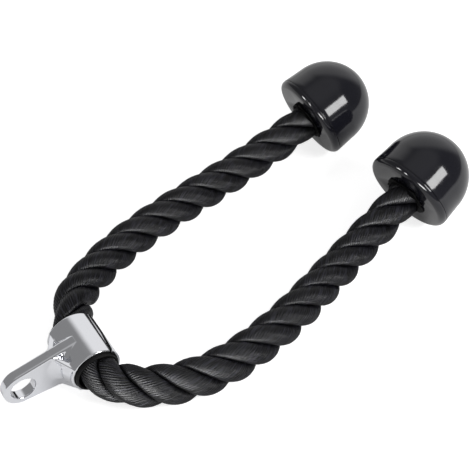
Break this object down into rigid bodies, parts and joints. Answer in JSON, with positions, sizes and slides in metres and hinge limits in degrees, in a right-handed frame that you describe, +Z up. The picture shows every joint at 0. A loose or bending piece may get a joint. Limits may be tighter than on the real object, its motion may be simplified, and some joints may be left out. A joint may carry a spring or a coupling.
{
  "type": "triceps rope cable attachment",
  "caption": "Thick laid rope folded through a chromed clamp with a flat eye tab, and a domed stop cap on each rope end for gripping.",
  "frame": {"origin": "middle of the bottom of the box round the clamp and the caps, on the floor that the attachment lies on", "axes": "+Y from the clamp to the stop caps, +Z up, +X to the right leg; the clamp's sleeve is yawed 10 degrees from X"},
  "size_m": [0.1793, 0.3798, 0.0726],
  "materials": {
    "chrome": "polished chrome plate on a steel casting",
    "liner": "black rubber sleeve",
    "rope": "black laid synthetic rope with a waxy sheen",
    "cap_plastic": "black moulded plastic, glossy",
    "zinc_steel": "zinc-plated steel",
    "tape": "black whipping tape"
  },
  "bodies": {
    "clamp": {"clamp_body": "chrome", "clamp_liner": "liner", "rope_bight": "rope"},
    "bend_left": {"rope_bend_left": "rope"},
    "leg_left": {"rope_leg_left": "rope", "rope_tail_left": "rope", "rope_whipping_left": "tape", "cap_base_left": "cap_plastic", "cap_dome_left": "cap_plastic", "stop_washer_left": "zinc_steel", "swaged_ferrule_left": "zinc_steel"},
    "bend_right": {"rope_bend_right": "rope"},
    "leg_right": {"rope_leg_right": "rope", "rope_tail_right": "rope", "rope_whipping_right": "tape", "cap_base_right": "cap_plastic", "cap_dome_right": "cap_plastic", "stop_washer_right": "zinc_steel", "swaged_ferrule_right": "zinc_steel"}
  },
  "joints": [
    {"name": "lift_left", "type": "hinge", "parent": "clamp", "child": "bend_left", "pos_m": [0.0002, -0.1295, 0.018], "axis": [0.9848, -0.1736, 0], "range_deg": [-40, 40]},
    {"name": "swing_left", "type": "hinge", "parent": "bend_left", "child": "leg_left", "pos_m": [-0.0429, -0.1061, 0.018], "axis": [0, 0, 1], "range_deg": [-4, 60], "deforming": ["rope_bend_left"]},
    {"name": "lift_right", "type": "hinge", "parent": "clamp", "child": "bend_right", "pos_m": [0.0002, -0.1295, 0.018], "axis": [0.9848, -0.1736, 0], "range_deg": [-40, 40]},
    {"name": "swing_right", "type": "hinge", "parent": "bend_right", "child": "leg_right", "pos_m": [0.0466, -0.119, 0.018], "axis": [0, 0, -1], "range_deg": [-4, 60], "deforming": ["rope_bend_right"]}
  ]
}
